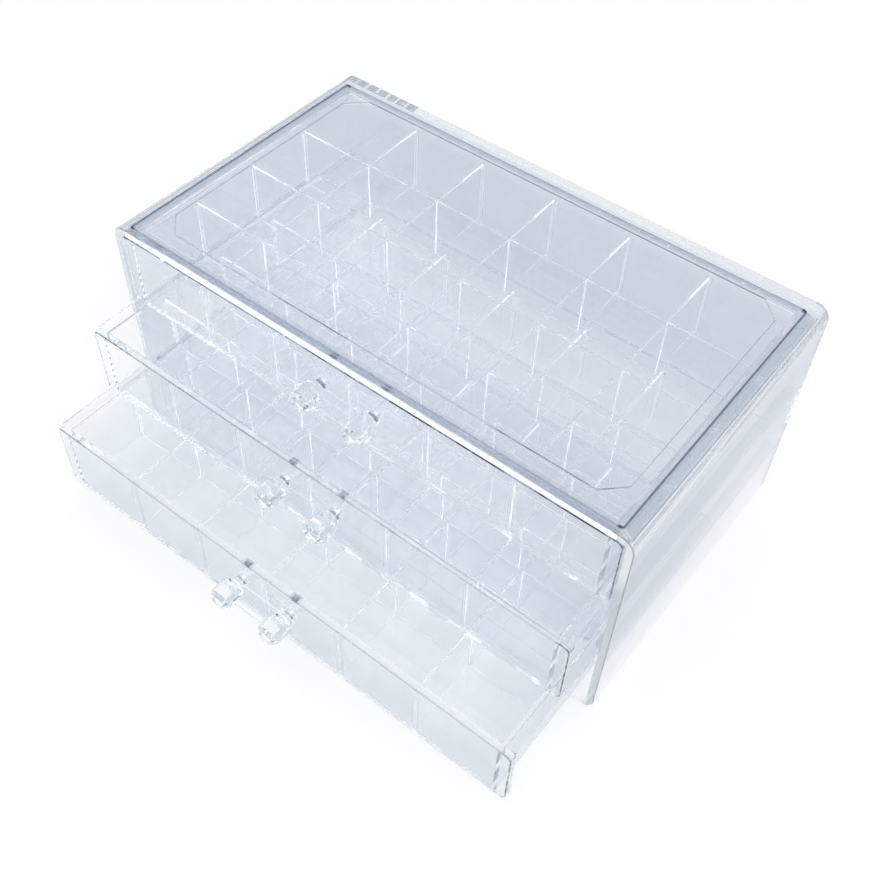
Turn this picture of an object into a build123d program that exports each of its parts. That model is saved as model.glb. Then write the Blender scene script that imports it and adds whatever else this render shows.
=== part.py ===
from build123d import *
import os

# Clear storage box with three sliding drawers for small bottles. Millimetres.
# X runs along the front, Y from the front to the back, Z up. The origin is the
# middle of the casing's underside.

# Casing
WIDTH = 235.0
DEPTH = 135.0
HEIGHT = 108.0
WALL = 3.0
EDGE_RADIUS = 6.0
INSIDE_RADIUS = 1.5
MOUTH_BEVEL = 0.4

# Shallow recess under the floor, which leaves a rim to stand on
STAND_SIDE = 12.0
STAND_END = 8.0
STAND_RECESS = 0.4

# Film of air between pieces that lie on each other
AIR_FILM = 0.05

# How far a cutting shape runs past the face that it cuts
CUT_PAST = 1.0

# Plate let into the casing's top
RIM_SIDE = 6.5
RIM_FRONT = 2.6
RIM_BACK = 6.2
LEDGE = 3.6
POCKET_DEPTH = 1.8
POCKET_RADIUS = 1.5
PLATE_FIT = 0.15
PLATE_SINK = 0.1
PAD_INSET_SIDE = 7.4
PAD_INSET_FRONT = 9.0
PAD_INSET_BACK = 3.6
PAD_CORNER = 8.0
PAD_LIFT = 0.1

# Drawers
DRAWERS = 3
DRAWER_GAP = 1.0
PANEL_THICK = 3.0
PANEL_CORNER = 2.5
PANEL_BEVEL = 0.4
SIDE_GAP = 1.1
BACK_ROOM = 2.6
TRAY_WALL = 1.6
TRAY_FLOOR = 1.6
TRAY_EDGE = 2.0
FLANGE_WIDTH = 4.4
FLANGE_THICK = 1.8
PULLED_OUT = {1: 0.0, 2: 22.5, 3: 50.0}

# Rails on the casing's sides, under the flanges
RAIL_FIT = 0.3
RAIL_THICK = 2.0
RAIL_TO_TRAY = 1.2
RAIL_END_SLANT = 2.5
RAIL_SETBACK = 3.5

# Compartments
COLUMNS = 6
ROWS = 4
DIVIDER_THICK = 1.0
DIVIDER_DROP = 4.0
END_FIT = 0.2
SLOT_FIT = 0.1
GUIDE_DEPTH = 1.0
GUIDE_WIDTH = 0.8
GUIDE_FIT = 0.1

# Handles
KNOB_PITCH = 24.4
KNOB_SIDES = 8
KNOB_FLATS = 9.0
KNOB_LENGTH = 10.0
KNOB_BEVEL = 1.3
KNOB_LIFT = 2.5
NECK_LENGTH = 2.6
NECK_RADIUS = 2.9
PIN_RADIUS = 2.3
PIN_FIT = 0.1
WEB_THICK = 2.0
WEB_BACK = 1.2
WEB_REACH = 9.0

# Sizes that follow from the ones above
FRONT = -DEPTH / 2
INSIDE_HALF = WIDTH / 2 - WALL
PITCH = (HEIGHT - 2 * WALL) / DRAWERS
PANEL_HEIGHT = PITCH - DRAWER_GAP
PANEL_HALF = INSIDE_HALF - SIDE_GAP
PANEL_BACK = FRONT + PANEL_THICK
TRAY_HALF = PANEL_HALF - FLANGE_WIDTH
TRAY_BACK = DEPTH / 2 - WALL - BACK_ROOM
HOLLOW_HALF = TRAY_HALF - TRAY_WALL
HOLLOW_LENGTH = TRAY_BACK - TRAY_WALL - PANEL_BACK
COLUMN_PITCH = 2 * HOLLOW_HALF / COLUMNS
ROW_PITCH = HOLLOW_LENGTH / ROWS
FLANGE_UNDER = PANEL_HEIGHT - FLANGE_THICK
DIVIDER_HEIGHT = PANEL_HEIGHT - DIVIDER_DROP - TRAY_FLOOR
KNOB_Z = PANEL_HEIGHT / 2 + KNOB_LIFT


def block(x0, x1, y0, y1, z0, z1):
    """A box between two corners."""
    centre = ((x0 + x1) / 2, (y0 + y1) / 2, (z0 + z1) / 2)
    return Pos(*centre) * Box(x1 - x0, y1 - y0, z1 - z0)


def bar_along_y(sketch, y0, y1):
    """A sketch in X and Z drawn out from y0 to y1."""
    return extrude(Plane.XZ * sketch, -(y1 - y0)).moved(Location((0, y0, 0)))


def drawer_bottom(number):
    """Underside of a drawer; drawer 1 is the top one."""
    return WALL + DRAWER_GAP / 2 + (DRAWERS - number) * PITCH


def column_line(index):
    """X of the line between two columns."""
    return -HOLLOW_HALF + index * COLUMN_PITCH


def row_line(index):
    """Y of the line between two rows of a closed drawer."""
    return PANEL_BACK + index * ROW_PITCH


def rail(side, number):
    """One rail with a slanted front end, on the left (-1) or right (+1)."""
    outer = side * (INSIDE_HALF + WALL / 2)
    wall = side * INSIDE_HALF
    inner = side * (TRAY_HALF + RAIL_TO_TRAY)
    start = FRONT + RAIL_SETBACK
    end = DEPTH / 2 - WALL / 2
    top = drawer_bottom(number) + FLANGE_UNDER - RAIL_FIT
    corners = [
        (outer, start),
        (wall, start),
        (inner, start + RAIL_END_SLANT),
        (inner, end),
        (outer, end),
    ]
    outline = make_face(Polyline(*corners, close=True))
    return extrude(Plane.XY.offset(top - RAIL_THICK) * outline, RAIL_THICK)


def casing():
    """Body open at the front, with rails and a pocket in the top."""
    outer = Pos(0, HEIGHT / 2) * RectangleRounded(WIDTH, HEIGHT, EDGE_RADIUS)
    inner = Pos(0, HEIGHT / 2) * RectangleRounded(
        2 * INSIDE_HALF, HEIGHT - 2 * WALL, INSIDE_RADIUS
    )
    body = bar_along_y(outer, FRONT, DEPTH / 2)
    rim = body.edges().group_by(Axis.Y)[0]
    body = chamfer(rim, MOUTH_BEVEL)
    body -= bar_along_y(inner, FRONT - CUT_PAST, DEPTH / 2 - WALL)
    body -= top_pocket()
    body -= stand_recess()
    for number in range(1, DRAWERS + 1):
        for side in (-1, 1):
            body += rail(side, number)
    return body


def stand_recess():
    """Space cut out of the underside, so that the box stands on its rim."""
    half_x = WIDTH / 2 - STAND_SIDE
    half_y = DEPTH / 2 - STAND_END
    return block(-half_x, half_x, -half_y, half_y, -CUT_PAST, STAND_RECESS)


def pocket_centre():
    """Middle of the pocket in Y."""
    return (RIM_FRONT - RIM_BACK) / 2


def top_pocket():
    """Space cut out of the top: a seat for the plate and a window below it."""
    size_x = WIDTH - 2 * RIM_SIDE
    size_y = DEPTH - RIM_FRONT - RIM_BACK
    seat = RectangleRounded(size_x, size_y, POCKET_RADIUS)
    window = RectangleRounded(size_x - 2 * LEDGE, size_y - 2 * LEDGE, POCKET_RADIUS)
    floor = HEIGHT - POCKET_DEPTH
    place = Pos(0, pocket_centre(), floor)
    cut = place * extrude(seat, POCKET_DEPTH + CUT_PAST)
    cut += place * extrude(window, POCKET_DEPTH - WALL - CUT_PAST)
    return cut


def top_plate():
    """Clear plate in the pocket, with a pad under it that has cut corners."""
    size_x = WIDTH - 2 * RIM_SIDE - 2 * PLATE_FIT
    size_y = DEPTH - RIM_FRONT - RIM_BACK - 2 * PLATE_FIT
    under = HEIGHT - POCKET_DEPTH + AIR_FILM
    top = HEIGHT - PLATE_SINK
    sheet = RectangleRounded(size_x, size_y, POCKET_RADIUS)
    plate = Pos(0, pocket_centre(), under) * extrude(sheet, top - under)
    half_x = size_x / 2 - PAD_INSET_SIDE
    low_y = FRONT + RIM_FRONT + PAD_INSET_FRONT
    high_y = DEPTH / 2 - RIM_BACK - PAD_INSET_BACK
    pad = Pos(0, (low_y + high_y) / 2) * Rectangle(2 * half_x, high_y - low_y)
    pad = chamfer(pad.vertices(), PAD_CORNER)
    pad_under = HEIGHT - WALL + PAD_LIFT
    return plate + Pos(0, 0, under) * extrude(pad, pad_under - under)


def tray():
    """Drawer body of a closed drawer standing on Z = 0, front panel included."""
    face = Pos(0, PANEL_HEIGHT / 2) * RectangleRounded(
        2 * PANEL_HALF, PANEL_HEIGHT, PANEL_CORNER
    )
    panel = bar_along_y(face, FRONT, PANEL_BACK)
    panel = chamfer(panel.edges().group_by(Axis.Y)[0], PANEL_BEVEL)
    body = block(-TRAY_HALF, TRAY_HALF, PANEL_BACK, TRAY_BACK, 0, PANEL_HEIGHT)
    low = body.edges().group_by(Axis.Z)[0].filter_by(Axis.Y)
    upright = body.edges().filter_by(Axis.Z).group_by(Axis.Y)[-1]
    body = fillet(low + upright, TRAY_EDGE)
    flange = block(-PANEL_HALF, PANEL_HALF, PANEL_BACK, TRAY_BACK, FLANGE_UNDER, PANEL_HEIGHT)
    flange = fillet(flange.edges().filter_by(Axis.Z).group_by(Axis.Y)[-1], TRAY_EDGE)
    body += flange
    body -= block(
        -HOLLOW_HALF,
        HOLLOW_HALF,
        PANEL_BACK,
        PANEL_BACK + HOLLOW_LENGTH,
        TRAY_FLOOR,
        PANEL_HEIGHT + CUT_PAST,
    )
    body += panel
    for guide in guides():
        body += guide
    for side in (-1, 1):
        body -= pin_shape(side, PIN_RADIUS + PIN_FIT)
    return body


def guides():
    """Pairs of small upright ribs on the walls that hold the dividers' ends."""
    ribs = []
    z0 = TRAY_FLOOR / 2
    z1 = TRAY_FLOOR + DIVIDER_HEIGHT
    near = DIVIDER_THICK / 2 + GUIDE_FIT
    far = near + GUIDE_WIDTH
    back = PANEL_BACK + HOLLOW_LENGTH
    for side in (-1, 1):
        x0, x1 = sorted((side * (HOLLOW_HALF - GUIDE_DEPTH), side * (HOLLOW_HALF + TRAY_WALL / 2)))
        for index in range(1, ROWS):
            y = row_line(index)
            ribs.append(block(x0, x1, y - far, y - near, z0, z1))
            ribs.append(block(x0, x1, y + near, y + far, z0, z1))
        for index in range(1, COLUMNS):
            a, b = sorted((column_line(index) + side * near, column_line(index) + side * far))
            ribs.append(block(a, b, PANEL_BACK - TRAY_WALL / 2, PANEL_BACK + GUIDE_DEPTH, z0, z1))
            ribs.append(block(a, b, back - GUIDE_DEPTH, back + TRAY_WALL / 2, z0, z1))
    return ribs


def long_divider(index):
    """Divider from side to side, slotted from above where it meets the others."""
    y = row_line(index)
    half = HOLLOW_HALF - END_FIT
    foot = TRAY_FLOOR + AIR_FILM
    top = TRAY_FLOOR + DIVIDER_HEIGHT
    plate = block(-half, half, y - DIVIDER_THICK / 2, y + DIVIDER_THICK / 2, foot, top)
    middle = TRAY_FLOOR + DIVIDER_HEIGHT / 2
    slot_x = DIVIDER_THICK / 2 + SLOT_FIT
    slot_y = DIVIDER_THICK / 2 + CUT_PAST
    for column in range(1, COLUMNS):
        x = column_line(column)
        plate -= block(x - slot_x, x + slot_x, y - slot_y, y + slot_y, middle, top + CUT_PAST)
    return plate


def cross_divider(index):
    """Divider from front to back, slotted from below where it meets the others."""
    x = column_line(index)
    foot = TRAY_FLOOR + AIR_FILM
    top = TRAY_FLOOR + DIVIDER_HEIGHT
    start = PANEL_BACK + END_FIT
    end = PANEL_BACK + HOLLOW_LENGTH - END_FIT
    plate = block(x - DIVIDER_THICK / 2, x + DIVIDER_THICK / 2, start, end, foot, top)
    low = foot - CUT_PAST
    middle = TRAY_FLOOR + DIVIDER_HEIGHT / 2 + AIR_FILM
    slot_x = DIVIDER_THICK / 2 + CUT_PAST
    slot_y = DIVIDER_THICK / 2 + SLOT_FIT
    for row in range(1, ROWS):
        y = row_line(row)
        plate -= block(x - slot_x, x + slot_x, y - slot_y, y + slot_y, low, middle)
    return plate


def pin_shape(side, radius):
    """Round pin through the front panel at one end of the handle."""
    spot = Pos(side * KNOB_PITCH / 2, KNOB_Z) * Circle(radius)
    return bar_along_y(spot, FRONT - AIR_FILM, PANEL_BACK)


def knob(side):
    """Eight-sided head with bevelled ends on a round neck."""
    place = Pos(side * KNOB_PITCH / 2, KNOB_Z)
    outline = place * RegularPolygon(
        KNOB_FLATS / 2, KNOB_SIDES, major_radius=False, rotation=180 / KNOB_SIDES
    )
    near = FRONT - NECK_LENGTH
    head = bar_along_y(outline, near - KNOB_LENGTH, near)
    ends = head.edges().group_by(Axis.Y)[0] + head.edges().group_by(Axis.Y)[-1]
    head = chamfer(ends, KNOB_BEVEL)
    neck = bar_along_y(place * Circle(NECK_RADIUS), near - KNOB_LENGTH / 2, FRONT - AIR_FILM)
    return head + neck + pin_shape(side, PIN_RADIUS)


def handle():
    """Two knobs joined by a flat web, one moulding."""
    shape = knob(-1) + knob(1)
    half = KNOB_PITCH / 2
    shape += block(
        -half,
        half,
        FRONT - WEB_REACH,
        FRONT - WEB_BACK,
        KNOB_Z - WEB_THICK / 2,
        KNOB_Z + WEB_THICK / 2,
    )
    return shape


def write(name, shape):
    """Save one piece under its node name."""
    export_step(shape, f"parts/{name}.step")


def write_drawer(number):
    """Save a drawer's pieces where they stand, pulled out as far as it is."""
    place = Location((0, -PULLED_OUT[number], drawer_bottom(number)))
    write(f"drawer_{number}_tray", tray().moved(place))
    write(f"drawer_{number}_handle", handle().moved(place))
    for index in range(1, ROWS):
        write(f"drawer_{number}_long_divider_{index}", long_divider(index).moved(place))
    for index in range(1, COLUMNS):
        write(f"drawer_{number}_cross_divider_{index}", cross_divider(index).moved(place))


def main():
    os.makedirs("parts", exist_ok=True)
    write("casing", casing())
    write("top_plate", top_plate())
    for number in range(1, DRAWERS + 1):
        write_drawer(number)


main()
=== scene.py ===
import math

import bpy
import numpy as np
from bpy.props import FloatProperty, FloatVectorProperty, IntProperty, PointerProperty
from bpy.types import Operator, Panel, PropertyGroup
from mathutils import Euler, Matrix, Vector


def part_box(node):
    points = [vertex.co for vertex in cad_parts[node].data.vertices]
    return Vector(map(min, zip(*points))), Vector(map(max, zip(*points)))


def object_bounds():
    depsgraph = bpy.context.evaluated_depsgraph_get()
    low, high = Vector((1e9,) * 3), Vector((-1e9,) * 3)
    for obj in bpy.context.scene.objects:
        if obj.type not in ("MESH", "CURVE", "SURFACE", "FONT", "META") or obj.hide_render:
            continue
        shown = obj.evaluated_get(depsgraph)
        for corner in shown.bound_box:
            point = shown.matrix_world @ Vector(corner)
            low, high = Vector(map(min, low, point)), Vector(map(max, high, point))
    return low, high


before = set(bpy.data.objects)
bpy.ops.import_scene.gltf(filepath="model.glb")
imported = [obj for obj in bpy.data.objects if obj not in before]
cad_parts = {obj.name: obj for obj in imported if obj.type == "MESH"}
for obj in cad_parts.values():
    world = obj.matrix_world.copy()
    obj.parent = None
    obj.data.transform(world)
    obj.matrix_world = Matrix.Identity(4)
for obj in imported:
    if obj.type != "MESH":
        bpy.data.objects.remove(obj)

bl_info = {
    "name": "Drawer organizer looks",
    "version": (1, 0, 0),
    "blender": (4, 5, 0),
    "location": "3D View > Sidebar > Organizer",
    "description": "Dresses the clear drawer organizer and sets up its studio",
    "category": "Object",
}

# The CAD box, before anything is added, in metres.
CAD_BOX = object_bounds()
MM = 0.001

# How far a face looks along an axis, either way: wholly, slanted, or not at all.
FACING = (0.9, 1.1)
SLANTED = (0.15, 0.97)
SIDELONG = (-0.1, 0.1)

# The casing's walls have their full darker tint, which is painted shade, between these shares of
# the inner height.
WALL_SHADE_FROM = 0.5
WALL_SHADE_TO = 0.9

# Corners of the CAD's triangles closer than WELD_GAP become one, faces that bend less
# than FLAT_ANGLE become one, and edges that bend more than SHARP_ANGLE are rounded.
WELD_GAP = 0.001 * MM
FLAT_ANGLE = math.radians(1)
SHARP_ANGLE = math.radians(30)

# Width of the camera's sensor, in millimetres.
SENSOR_WIDTH = 36.0


def linear(code):
    """Linear red, green and blue of an sRGB hex code."""
    parts = np.array([int(code[i:i + 2], 16) for i in (1, 3, 5)]) / 255
    low = parts / 12.92
    high = ((parts + 0.055) / 1.055) ** 2.4
    return tuple(float(v) for v in np.where(parts <= 0.04045, low, high))


def names(word):
    """CAD nodes of all the drawers whose names hold this word, in order."""
    return sorted(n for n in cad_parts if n.startswith("drawer_") and word in n)


# Settings

def share(name, description, default):
    """Property between 0 and 1."""
    return FloatProperty(
        name=name,
        description=description,
        subtype="FACTOR",
        min=0.0,
        max=1.0,
        default=default,
    )


def colour(name, description, code):
    """Colour property whose default is a hex code."""
    return FloatVectorProperty(
        name=name,
        description=description,
        subtype="COLOR",
        size=3,
        min=0.0,
        max=1.0,
        default=linear(code),
    )


def length(name, description, millimetres):
    """Length property whose default is given in millimetres."""
    return FloatProperty(
        name=name,
        description=description,
        unit="LENGTH",
        subtype="DISTANCE",
        precision=5,
        default=millimetres * MM,
    )


class PlasticSettings(PropertyGroup):
    """What the clear plastic looks like."""

    casing_floor: colour("Casing floor", "Tint that the casing's floor gives", "#FDFDFE")
    # Painted shade: the casing's walls are tinted darker than its floor and its rim.
    casing_wall_painted_shade: colour("Casing wall", "Tint that the casing's walls give", "#D4DBE4")
    casing_rim: colour("Casing rim", "Tint that the rim round the top gives", "#F1F4F7")
    mouth: colour("Casing mouth", "Tint of the faces beside the drawers", "#EDF2F7")
    lip: colour("Casing lip", "Tint of the face above the drawers", "#FFFFFF")
    # Painted reflection: the strip in front of the plate is tinted dark, for the dark band of dark
    # surroundings seen there.
    rim_front_painted_reflection: colour("Front rim", "Tint of the strip in front of the plate", "#AEB9C8")
    plate: colour("Top plate", "Tint that the top plate gives", "#F3F5F8")
    # Painted reflection: the joint round the plate is real, and its dark colour stands in for dark
    # surroundings seen in the gap, darker at the ends than front and back, darkest at the corners.
    end_seam_painted_shade: colour("Seam at the ends", "Tint of the plate's seam at its ends", "#6E7A8A")
    long_seam_painted_shade: colour("Seam along", "Tint of the plate's seam, front and back", "#A9B4C3")
    corner: colour("Seam corner", "Tint of the seam at the plate's corners", "#1E2733")
    # Painted shade: the lowest drawer's walls are tinted darker than the other drawers', which stay
    # clear.
    low_tray_painted_shade: colour("Lowest drawer", "Tint that its walls give", "#ECF0F4")
    high_tray: colour("Other drawers", "Tint that their walls give", "#FFFFFF")
    # Painted reflection: the bevels round a drawer's front are tinted darker, for dark lines along
    # its edges.
    panel_edge_painted_reflection: colour("Front's edges", "Tint of the bevels round a drawer's front", "#BFC9D4")
    # Painted reflection: the pin holes are tinted dark, for the dark edges of the holes seen
    # through the front.
    pin_hole_painted_reflection: colour("Pin holes", "Tint of the holes that the handles' pins fill", "#8E99A7")
    divider: colour("Dividers", "Tint that one divider gives", "#FDFDFE")
    # The dividers' ends are white; the light they give off is painted glow.
    divider_end: colour("Dividers' ends", "Tint of their ends, where light leaves", "#FFFFFF")
    handle: colour("Handles", "Tint that a handle gives", "#FAFCFE")
    refraction: FloatProperty(
        name="Refraction",
        description="Index of refraction of clear polystyrene",
        default=1.58,
        min=1.0,
        max=2.0,
    )
    haze: share("Haze", "Roughness of the hazy patches on the casing and the plate", 0.02)
    wave_length: length("Wave length", "Distance between moulding waves", 26.0)
    wave_height: length("Wave height", "Height of the moulding waves", 0.05)
    ripple_length: length("Ripple length", "Distance between ripples on the mouth", 1.6)
    ripple_height: length("Ripple height", "Height of the ripples on the mouth", 0.03)
    mouth_frost: share("Mouth frost", "Roughness of the faces round the casing's mouth", 0.22)
    # Painted glow: the dividers' ends give off light, though they are no lamp.
    end_painted_glow: share("End glow", "Light led inside a divider that leaves at its ends", 0.3)
    # Painted glow: the face above the drawers gives off light, though it is no lamp.
    lip_painted_glow: share("Lip glow", "Light that leaves at the face above the drawers", 0.3)


class SeamSettings(PropertyGroup):
    """Sizes of the strips that are finished another way, most of them with painted shade, painted
    reflection and painted glow.
    """

    skin: length("Skin", "How far a strip reaches past its faces, so that it holds them", 0.3)
    # The dark seam and its darkest corner stretches are painted reflection of dark surroundings in
    # the joint.
    seam_width: length("Seam width", "Width of the dark seam round the top plate", 0.7)
    corner_along: length("Corner along", "Length of the darkest stretch at a corner", 2.1)
    corner_across: length("Corner across", "Width of the darkest stretch at a corner", 1.05)
    wall: length("Wall", "Width of the casing's faces above and beside the drawers", 3.5)
    round_end: length("Round end", "How far the front strips stop from the sides", 7.0)
    panel: length("Front", "Thickness of a drawer's front, and a little more", 3.1)
    pin_place: length("Pin place", "Distance of a handle's pin from the middle", 12.2)
    hole_radius: length("Hole radius", "Radius round a pin that holds its hole", 2.6)


class EdgeSettings(PropertyGroup):
    """How far each piece's edges are rounded."""

    casing: length("Casing", "Rounding of the casing's edges", 0.4)
    plate: length("Top plate", "Rounding of the top plate's edges", 0.25)
    tray: length("Drawers", "Rounding of the drawers' edges", 0.3)
    divider: length("Dividers", "Rounding of the dividers' edges", 0.2)
    handle: length("Handles", "Rounding of the handles' edges", 0.15)
    steps: IntProperty(
        name="Steps",
        description="Faces across each rounded edge",
        default=2,
        min=1,
        max=4,
    )


class StudioSettings(PropertyGroup):
    """Floor, light and camera."""

    floor: colour("Floor", "Colour of the floor", "#FBFBFB")
    floor_size: length("Floor size", "Length of the floor's side", 40000.0)
    floor_drop: length("Floor drop", "Gap between the floor and the part", 0.05)
    floor_grain: length("Floor grain", "Distance between the grains of the floor", 10 / 9)
    plain_share: share("Plain share", "How much of the floor is plain white, without shadow", 0.6)
    overhead: colour("Overhead", "Colour of the light from straight above", "#FFFFFF")
    sideways: colour("Sideways", "Colour of the light from half way up", "#DDE2E9")
    horizon: colour("Horizon", "Colour of the light near the floor", "#566170")
    horizon_to: share("Horizon to", "Sine of the angle up from the floor where it ends", 0.08)
    sideways_at: share("Sideways at", "Sine of the angle up from the floor of that light", 0.42)
    overhead_at: share("Overhead at", "Sine of the angle up where that light is full", 0.9)
    lamp_power: FloatProperty(
        name="Lamp power",
        description="Power of the soft lamp",
        default=9.0,
        min=0.0,
        unit="POWER",
    )
    lamp_size: length("Lamp size", "Side of the soft lamp", 900.0)
    lamp_place: FloatVectorProperty(
        name="Lamp place",
        description="Where the soft lamp hangs",
        subtype="TRANSLATION",
        unit="LENGTH",
        default=(0.8, -0.5, 1.3),
    )
    camera_place: FloatVectorProperty(
        name="Camera place",
        description="Where the camera stands",
        subtype="TRANSLATION",
        unit="LENGTH",
        default=(0.1868, -0.26646, 0.39546),
    )
    camera_turn: FloatVectorProperty(
        name="Camera turn",
        description="How the camera is tilted, rolled and turned",
        subtype="EULER",
        unit="ROTATION",
        default=tuple(math.radians(a) for a in (39.843, -1.715, 38.150)),
    )
    lens: FloatProperty(
        name="Lens",
        description="Focal length on a sensor 36 mm wide",
        default=47.165,
        unit="CAMERA",
    )
    bounces: IntProperty(
        name="Bounces",
        description="How often light may turn inside the clear walls",
        default=200,
        min=12,
    )


class OrganizerSettings(PropertyGroup):
    """All the settings of this file."""

    plastic: PointerProperty(type=PlasticSettings)
    seams: PointerProperty(type=SeamSettings)
    edges: PointerProperty(type=EdgeSettings)
    studio: PointerProperty(type=StudioSettings)


# Materials

def add_node(tree, kind, settings=None, links=None):
    """Add a node with its settings and input values, and link its inputs."""
    node = tree.nodes.new(kind)
    for key, value in (settings or {}).items():
        if isinstance(key, int) or key in node.inputs:
            node.inputs[key].default_value = value
        else:
            setattr(node, key, value)
    for key, source in (links or {}).items():
        tree.links.new(source, node.inputs[key])
    return node


def empty_tree(owner):
    """Node tree of a material or world, with nothing in it."""
    owner.use_nodes = True
    owner.node_tree.nodes.clear()
    return owner.node_tree


def face_mask(tree, ranges):
    """1 on faces inside all the ranges and 0 elsewhere.

    ranges maps X, Y or Z to a stretch in metres, or tilt X, tilt Y or tilt Z to a
    stretch of how far the face looks along that axis, either way: 0 is not at all
    and 1 is wholly.
    """
    coordinates = add_node(tree, "ShaderNodeTexCoord")
    place = add_node(tree, "ShaderNodeSeparateXYZ", None, {"Vector": coordinates.outputs["Object"]})
    size = add_node(
        tree,
        "ShaderNodeVectorMath",
        {"operation": "ABSOLUTE"},
        {"Vector": coordinates.outputs["Normal"]},
    )
    tilt = add_node(tree, "ShaderNodeSeparateXYZ", None, {"Vector": size.outputs["Vector"]})
    mask = None
    for key, (low, high) in ranges.items():
        source = tilt if key.startswith("tilt") else place
        inside = add_node(
            tree,
            "ShaderNodeMath",
            {"operation": "COMPARE", 1: (low + high) / 2, 2: (high - low) / 2},
            {0: source.outputs[key[-1]]},
        )
        if mask is None:
            mask = inside.outputs[0]
        else:
            both = add_node(
                tree, "ShaderNodeMath", {"operation": "MULTIPLY"}, {0: mask, 1: inside.outputs[0]}
            )
            mask = both.outputs[0]
    return mask


def change(tree, mask, before, after):
    """The number before, or 0 if there is none, and after where the mask is 1."""
    links = {0: mask} if before is None else {0: mask, 2: before}
    return add_node(tree, "ShaderNodeMix", {2: 0.0, 3: after}, links).outputs[0]


def recolour(tree, mask, before, after):
    """The colour before, or after where the mask is 1."""
    node = add_node(
        tree,
        "ShaderNodeMix",
        {"data_type": "RGBA", 7: (*after, 1.0)},
        {0: mask, 6: before},
    )
    return node.outputs[2]


def rippled(tree, place, mask, relief, height):
    """The relief, with fine ripples of this height added where the mask is 1."""
    plastic = bpy.context.scene.organizer.plastic
    ripples = add_node(
        tree,
        "ShaderNodeTexNoise",
        {"Scale": 1 / plastic.ripple_length, "Detail": 1.0},
        {"Vector": place},
    )
    fine = add_node(
        tree,
        "ShaderNodeBump",
        {"Distance": height},
        {"Height": ripples.outputs["Fac"], "Strength": mask, "Normal": relief},
    )
    return fine.outputs["Normal"]


def tint_and_shade_by_height(tree, place, tints_and_shades):
    """Tint that changes with the height over the floor; where the colours differ, the change is
    painted shade.

    tints lists heights in metres, each with its tint, from the lowest up.
    """
    top = CAD_BOX[1][2]
    along = add_node(tree, "ShaderNodeSeparateXYZ", None, {"Vector": place})
    climb = add_node(
        tree,
        "ShaderNodeMapRange",
        {"From Min": 0.0, "From Max": top},
        {"Value": along.outputs["Z"]},
    )
    ramp = add_node(tree, "ShaderNodeValToRGB", None, {"Fac": climb.outputs["Result"]})
    stops = ramp.color_ramp.elements
    # A new ramp has two stops, and one tint needs only one.
    while len(stops) > len(tints_and_shades):
        stops.remove(stops[-1])
    while len(stops) < len(tints_and_shades):
        stops.new(1.0)
    for stop, (height, tint) in zip(stops, tints_and_shades):
        stop.position = height / top
        stop.color = (*tint, 1.0)
    return ramp.outputs["Color"]


def moulded_polystyrene(piece, tints_and_shades, faces=(), haze=0.0):
    """Clear polystyrene, injection moulded and unpolished where it left the mould.

    The eye gets a glassy wall with a cool tint that adds up from wall to wall, slow
    waves from the mould that bend reflections, and faint haze in soft patches.
    tints_and_shades is as in tint_and_shade_by_height. faces lists the faces that are
    finished another way, as ranges for face_mask, the colour, and what else differs:
    frost is a roughness, glow is a painted glow, light that the wall gives off though
    it is no lamp, and ripples is a height. Several of these face colours are painted
    shade and painted reflection.
    """
    plastic = bpy.context.scene.organizer.plastic
    material = bpy.data.materials.new(f"moulded_clear_polystyrene_{piece}")
    tree = empty_tree(material)
    place = add_node(tree, "ShaderNodeTexCoord").outputs["Object"]
    waves = add_node(
        tree,
        "ShaderNodeTexNoise",
        {"Scale": 1 / plastic.wave_length, "Detail": 1.0, "Roughness": 0.4},
        {"Vector": place},
    )
    relief = add_node(
        tree,
        "ShaderNodeBump",
        {"Strength": 1.0, "Distance": plastic.wave_height},
        {"Height": waves.outputs["Fac"]},
    )
    relief = relief.outputs["Normal"]
    # Only the upper half of the waves is hazy.
    patches = add_node(
        tree,
        "ShaderNodeMapRange",
        {"From Min": 0.5, "From Max": 0.8, "To Min": 0.0, "To Max": haze},
        {"Value": waves.outputs["Fac"]},
    )
    rough = patches.outputs["Result"]
    glow = None
    tint_and_painted_shade = tint_and_shade_by_height(tree, place, tints_and_shades)
    # Some face colours below are painted shade and painted reflection.
    for ranges, tint, finish in faces:
        mask = face_mask(tree, ranges)
        tint_and_painted_shade = recolour(tree, mask, tint_and_painted_shade, tint)
        if "frost" in finish:
            rough = change(tree, mask, rough, finish["frost"])
        if "glow" in finish:
            glow = change(tree, mask, glow, finish["glow"])
        if "ripples" in finish:
            relief = rippled(tree, place, mask, relief, finish["ripples"])
    clear = add_node(
        tree,
        "ShaderNodeBsdfPrincipled",
        {
            "Transmission Weight": 1.0,
            "IOR": plastic.refraction,
            "Emission Color": (1.0, 1.0, 1.0, 1.0),
            "Emission Strength": 0.0,
        },
        {"Base Color": tint_and_painted_shade, "Roughness": rough, "Normal": relief},
    )
    # Painted glow: where a face asks for it, the wall gives off light, though it is no lamp.
    if glow is not None:
        tree.links.new(glow, clear.inputs["Emission Strength"])
    # Rays towards a lamp pass straight through, with the wall's tint.
    through = add_node(tree, "ShaderNodeBsdfTransparent", None, {"Color": tint_and_painted_shade})
    path = add_node(tree, "ShaderNodeLightPath")
    both = add_node(
        tree,
        "ShaderNodeMixShader",
        None,
        {0: path.outputs["Is Shadow Ray"], 1: clear.outputs[0], 2: through.outputs[0]},
    )
    add_node(tree, "ShaderNodeOutputMaterial", None, {"Surface": both.outputs[0]})
    return material


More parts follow.
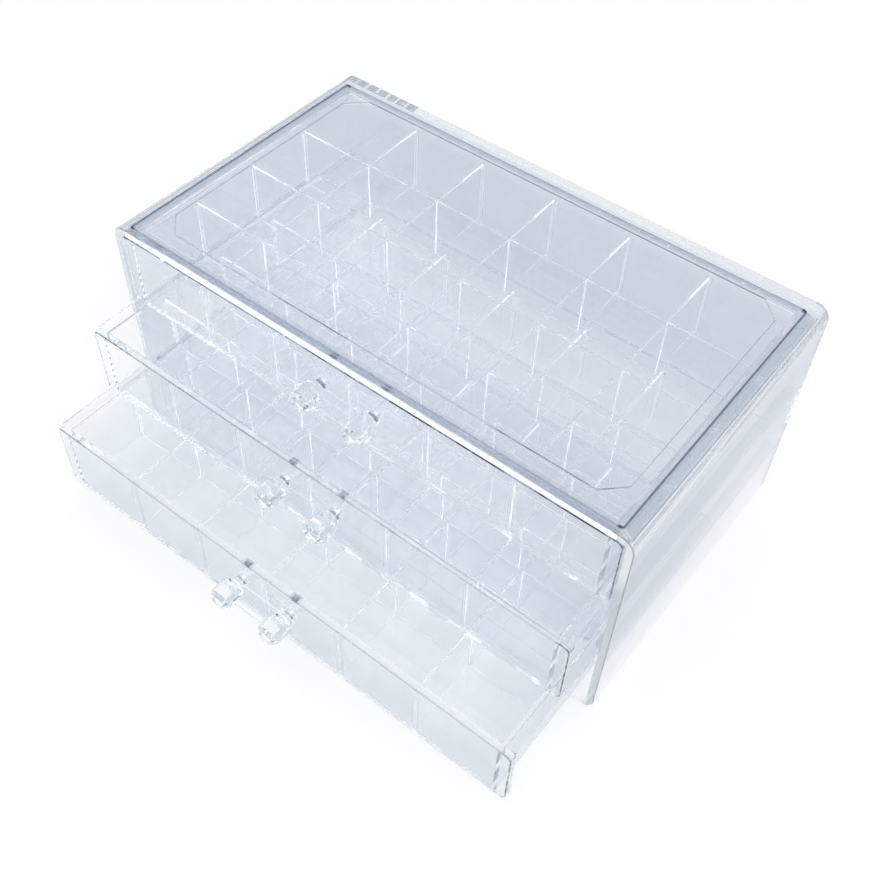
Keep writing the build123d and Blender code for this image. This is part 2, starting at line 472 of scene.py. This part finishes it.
def white_floor():
    """Painted board, matt: white to the eye, with a light soft shadow of the part."""
    studio = bpy.context.scene.organizer.studio
    material = bpy.data.materials.new("matt_white_board")
    tree = empty_tree(material)
    place = add_node(tree, "ShaderNodeTexCoord").outputs["Object"]
    grain = add_node(
        tree, "ShaderNodeTexNoise", {"Scale": 1 / studio.floor_grain}, {"Vector": place}
    )
    rough = add_node(
        tree,
        "ShaderNodeMapRange",
        {"To Min": 0.85, "To Max": 0.95},
        {"Value": grain.outputs["Fac"]},
    )
    board = add_node(
        tree,
        "ShaderNodeBsdfPrincipled",
        {"Base Color": (*studio.floor, 1.0), "Specular IOR Level": 0.1},
        {"Roughness": rough.outputs["Result"]},
    )
    plain = add_node(tree, "ShaderNodeEmission", {"Strength": 1.0})
    path = add_node(tree, "ShaderNodeLightPath")
    seen_or_mirrored = add_node(
        tree,
        "ShaderNodeMath",
        {"operation": "MAXIMUM"},
        {0: path.outputs["Is Camera Ray"], 1: path.outputs["Is Glossy Ray"]},
    )
    seen = add_node(
        tree,
        "ShaderNodeMath",
        {"operation": "MAXIMUM"},
        {0: seen_or_mirrored.outputs[0], 1: path.outputs["Is Transmission Ray"]},
    )
    white = add_node(
        tree,
        "ShaderNodeMath",
        {"operation": "MULTIPLY", 1: studio.plain_share},
        {0: seen.outputs[0]},
    )
    both = add_node(
        tree,
        "ShaderNodeMixShader",
        None,
        {0: white.outputs[0], 1: board.outputs[0], 2: plain.outputs[0]},
    )
    add_node(tree, "ShaderNodeOutputMaterial", None, {"Surface": both.outputs[0]})
    return material


def dress(node_names, material, edge):
    """Give CAD nodes a material and softly rounded edges, with flat faces kept flat."""
    steps = bpy.context.scene.organizer.edges.steps
    for name in node_names:
        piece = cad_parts[name]
        piece.data.materials.clear()
        piece.data.materials.append(material)
        weld = piece.modifiers.new("join", "WELD")
        weld.merge_threshold = WELD_GAP
        flat = piece.modifiers.new("flat_faces", "DECIMATE")
        flat.decimate_type = "DISSOLVE"
        flat.angle_limit = FLAT_ANGLE
        rounding = piece.modifiers.new("round_edges", "BEVEL")
        rounding.width = edge
        rounding.segments = steps
        rounding.limit_method = "ANGLE"
        rounding.angle_limit = SHARP_ANGLE
        piece.modifiers.new("true_normals", "WEIGHTED_NORMAL")


def strip_pair(low, high, width, skin):
    """Two strips of this width, just inside a low and a high edge."""
    return [(low - skin, low + width), (high - width, high + skin)]


def middle_height(name):
    """Height of a CAD node's middle over the floor."""
    low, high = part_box(name)
    return (low.z + high.z) / 2


# Pieces

class DressCasing(Operator):
    """Finish the casing: one moulding, open at the front, with rounded long edges"""

    bl_idname = "organizer.dress_casing"
    bl_label = "Casing"
    bl_options = {"REGISTER", "UNDO"}

    def execute(self, context):
        settings = context.scene.organizer
        plastic = settings.plastic
        seams = settings.seams
        skin = seams.skin
        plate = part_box("top_plate")[0]
        low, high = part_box("casing")
        # Painted shade: the tint is near clear at the floor, darker up the walls and lighter again
        # at the rim.
        tints_and_shades = [
            (0.0, plastic.casing_floor),
            (WALL_SHADE_FROM * plate.z, plastic.casing_wall_painted_shade),
            (WALL_SHADE_TO * plate.z, plastic.casing_wall_painted_shade),
            (plate.z, plastic.casing_rim),
        ]
        middle = (low.x + seams.round_end, high.x - seams.round_end)
        front = {"Y": (low.y - skin, low.y + skin), "tilt Y": FACING}
        lip = {
            "X": middle,
            "Y": (low.y - skin, low.y + 2 * skin),
            "Z": (high.z - seams.wall - skin, high.z - skin),
        }
        # The strip in front of the plate gets a dark tint, a painted reflection of dark
        # surroundings.
        rim = {
            "X": middle,
            "Y": (low.y, plate.y),
            "Z": (high.z - skin, high.z + skin),
        }
        frost = {"frost": plastic.mouth_frost, "ripples": plastic.ripple_height}
        faces = [
            (front, plastic.mouth, frost),
            # Painted glow: the lip is white and gives off light, though it is no lamp.
            (lip, plastic.lip, {"glow": plastic.lip_painted_glow}),
            (rim, plastic.rim_front_painted_reflection, {}),
        ]
        material = moulded_polystyrene("casing", tints_and_shades, faces, plastic.haze)
        dress(["casing"], material, settings.edges.casing)
        return {"FINISHED"}


class DressPlate(Operator):
    """Finish the plate that is let into the top"""

    bl_idname = "organizer.dress_plate"
    bl_label = "Top plate"
    bl_options = {"REGISTER", "UNDO"}

    def execute(self, context):
        settings = context.scene.organizer
        plastic = settings.plastic
        seams = settings.seams
        low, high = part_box("top_plate")
        width = seams.seam_width
        along = seams.corner_along
        across = seams.corner_across
        faces = []
        # The joint round the plate is real; its dark colour is painted reflection, lighter front
        # and back, darker at the ends and darkest at the corners.
        for y in strip_pair(low.y, high.y, width, seams.skin):
            faces.append(({"Y": y}, plastic.long_seam_painted_shade, {}))
        for x in strip_pair(low.x, high.x, width, seams.skin):
            faces.append(({"X": x}, plastic.end_seam_painted_shade, {}))
        for x in strip_pair(low.x, high.x, along, seams.skin):
            for y in strip_pair(low.y, high.y, across, seams.skin):
                faces.append(({"X": x, "Y": y}, plastic.corner, {}))
        material = moulded_polystyrene("plate", [(0.0, plastic.plate)], faces, plastic.haze)
        dress(["top_plate"], material, settings.edges.plate)
        return {"FINISHED"}


class DressTrays(Operator):
    """Finish the three drawers' bodies"""

    bl_idname = "organizer.dress_trays"
    bl_label = "Drawers"
    bl_options = {"REGISTER", "UNDO"}

    def execute(self, context):
        settings = context.scene.organizer
        plastic = settings.plastic
        skin = settings.seams.skin
        pin = settings.seams.pin_place
        radius = settings.seams.hole_radius
        lowest, second = sorted(middle_height(name) for name in names("tray"))[:2]
        # Painted shade: the tint darkens from the second drawer down to the lowest.
        tints_and_shades = [(lowest, plastic.low_tray_painted_shade), (second, plastic.high_tray)]
        faces = []
        for tray, handle in zip(names("tray"), names("handle")):
            low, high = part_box(tray)
            panel = {
                "Y": (low.y - skin, low.y + settings.seams.panel),
                "Z": (low.z - skin, high.z + skin),
            }
            # Painted reflection: the front's bevels get a darker tint.
            faces.append((panel | {"tilt Y": SLANTED}, plastic.panel_edge_painted_reflection, {}))
            height = middle_height(handle)
            # Painted reflection: the faces of each pin hole get a dark tint.
            for x in (-pin, pin):
                hole = {
                    "X": (x - radius, x + radius),
                    "Y": panel["Y"],
                    "Z": (height - radius, height + radius),
                    "tilt Y": SIDELONG,
                }
                faces.append((hole, plastic.pin_hole_painted_reflection, {}))
        material = moulded_polystyrene("tray", tints_and_shades, faces)
        dress(names("tray"), material, settings.edges.tray)
        return {"FINISHED"}


class DressDividers(Operator):
    """Finish the slotted dividers that cross inside each drawer"""

    bl_idname = "organizer.dress_dividers"
    bl_label = "Dividers"
    bl_options = {"REGISTER", "UNDO"}

    def execute(self, context):
        settings = context.scene.organizer
        plastic = settings.plastic
        skin = settings.seams.skin
        # Painted glow: the ends of each divider give off light, though they are no lamp.
        finish = {"glow": plastic.end_painted_glow}
        low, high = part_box(names("long_divider")[0])
        side_ends = [{"X": x} for x in strip_pair(low.x, high.x, skin, skin)]
        back_ends = []
        for name in names("cross_divider_1"):
            low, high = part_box(name)
            back_ends.append({"Y": (high.y - skin, high.y + skin), "Z": (low.z, high.z)})
        for kind, ends in (("long_divider", side_ends), ("cross_divider", back_ends)):
            faces = [(end, plastic.divider_end, finish) for end in ends]
            material = moulded_polystyrene(kind, [(0.0, plastic.divider)], faces)
            dress(names(kind), material, settings.edges.divider)
        return {"FINISHED"}


class DressHandles(Operator):
    """Finish the handles: two faceted knobs on a flat web"""

    bl_idname = "organizer.dress_handles"
    bl_label = "Handles"
    bl_options = {"REGISTER", "UNDO"}

    def execute(self, context):
        settings = context.scene.organizer
        material = moulded_polystyrene("handle", [(0.0, settings.plastic.handle)])
        dress(names("handle"), material, settings.edges.handle)
        return {"FINISHED"}


class BuildStudio(Operator):
    """Lay the floor, light it softly and place the camera"""

    bl_idname = "organizer.build_studio"
    bl_label = "Studio"
    bl_options = {"REGISTER", "UNDO"}

    def execute(self, context):
        lay_floor(context)
        light_world(context)
        hang_lamp(context)
        place_camera(context)
        return {"FINISHED"}


def lay_floor(context):
    """A square of white board just under the part."""
    studio = context.scene.organizer.studio
    half = studio.floor_size / 2
    drop = -studio.floor_drop
    corners = [(-half, -half, drop), (half, -half, drop), (half, half, drop), (-half, half, drop)]
    mesh = bpy.data.meshes.new("floor")
    mesh.from_pydata(corners, [], [(0, 1, 2, 3)])
    mesh.materials.append(white_floor())
    floor = bpy.data.objects.new("floor", mesh)
    context.scene.collection.objects.link(floor)


def light_world(context):
    """Soft light from all round: white above, cooler and darker towards the floor.

    The dark stretch near the floor draws the thin dark edges of the clear walls. Seen
    straight on by the camera, the whole of it is plain white.
    """
    scene = context.scene
    studio = scene.organizer.studio
    scene.world = bpy.data.worlds.new("studio_light")
    tree = empty_tree(scene.world)
    # In a world, Generated is the way that a ray goes.
    way = add_node(tree, "ShaderNodeTexCoord").outputs["Generated"]
    height = add_node(tree, "ShaderNodeSeparateXYZ", None, {"Vector": way})
    lower = add_node(
        tree,
        "ShaderNodeMapRange",
        {
            "interpolation_type": "SMOOTHSTEP",
            "From Min": studio.horizon_to,
            "From Max": studio.sideways_at,
        },
        {"Value": height.outputs["Z"]},
    )
    upper = add_node(
        tree,
        "ShaderNodeMapRange",
        {
            "interpolation_type": "SMOOTHSTEP",
            "From Min": studio.sideways_at,
            "From Max": studio.overhead_at,
        },
        {"Value": height.outputs["Z"]},
    )
    low = add_node(
        tree,
        "ShaderNodeMix",
        {"data_type": "RGBA", 6: (*studio.horizon, 1.0), 7: (*studio.sideways, 1.0)},
        {0: lower.outputs["Result"]},
    )
    sky = add_node(
        tree,
        "ShaderNodeMix",
        {"data_type": "RGBA", 7: (*studio.overhead, 1.0)},
        {0: upper.outputs["Result"], 6: low.outputs[2]},
    )
    path = add_node(tree, "ShaderNodeLightPath")
    seen = add_node(
        tree,
        "ShaderNodeMix",
        {"data_type": "RGBA", 7: (1.0, 1.0, 1.0, 1.0)},
        {0: path.outputs["Is Camera Ray"], 6: sky.outputs[2]},
    )
    light = add_node(tree, "ShaderNodeBackground", {"Strength": 1.0}, {"Color": seen.outputs[2]})
    add_node(tree, "ShaderNodeOutputWorld", None, {"Surface": light.outputs[0]})


def hang_lamp(context):
    """One large soft lamp above the front right, aimed at the part."""
    studio = context.scene.organizer.studio
    lamp = bpy.data.lights.new("soft_lamp", "AREA")
    lamp.energy = studio.lamp_power
    lamp.size = studio.lamp_size
    holder = bpy.data.objects.new("soft_lamp", lamp)
    holder.location = studio.lamp_place
    holder.rotation_euler = (-holder.location).to_track_quat("-Z", "Y").to_euler()
    context.scene.collection.objects.link(holder)


def place_camera(context):
    """Camera at the photograph's angle, and enough bounces for so many clear walls."""
    scene = context.scene
    studio = scene.organizer.studio
    camera = bpy.data.objects.new("camera", bpy.data.cameras.new("camera"))
    camera.location = studio.camera_place
    camera.rotation_euler = Euler(studio.camera_turn)
    camera.data.sensor_width = SENSOR_WIDTH
    camera.data.lens = studio.lens
    scene.collection.objects.link(camera)
    scene.camera = camera
    scene.view_settings.view_transform = "Standard"
    scene.cycles.max_bounces = studio.bounces
    scene.cycles.transmission_bounces = studio.bounces
    scene.cycles.glossy_bounces = studio.bounces
    scene.cycles.transparent_max_bounces = studio.bounces


class OrganizerPanel(Panel):
    """Lists what this file makes"""

    bl_idname = "VIEW3D_PT_organizer"
    bl_label = "Drawer organizer"
    bl_space_type = "VIEW_3D"
    bl_region_type = "UI"
    bl_category = "Organizer"

    def draw(self, context):
        settings = context.scene.organizer
        for group in (settings.plastic, settings.seams, settings.edges, settings.studio):
            box = self.layout.box()
            for key in group.bl_rna.properties.keys():
                if key not in ("rna_type", "name"):
                    box.prop(group, key)
        for step in STEPS:
            self.layout.operator(step.bl_idname)


STEPS = (DressCasing, DressPlate, DressTrays, DressDividers, DressHandles, BuildStudio)
SETTINGS = (PlasticSettings, SeamSettings, EdgeSettings, StudioSettings, OrganizerSettings)
CLASSES = (*SETTINGS, *STEPS, OrganizerPanel)


def register():
    for item in CLASSES:
        bpy.utils.register_class(item)
    bpy.types.Scene.organizer = PointerProperty(type=OrganizerSettings)


def unregister():
    del bpy.types.Scene.organizer
    for item in reversed(CLASSES):
        bpy.utils.unregister_class(item)


def main():
    register()
    for step in STEPS:
        group, name = step.bl_idname.split(".")
        getattr(getattr(bpy.ops, group), name)()


if __name__ == "__main__":
    main()
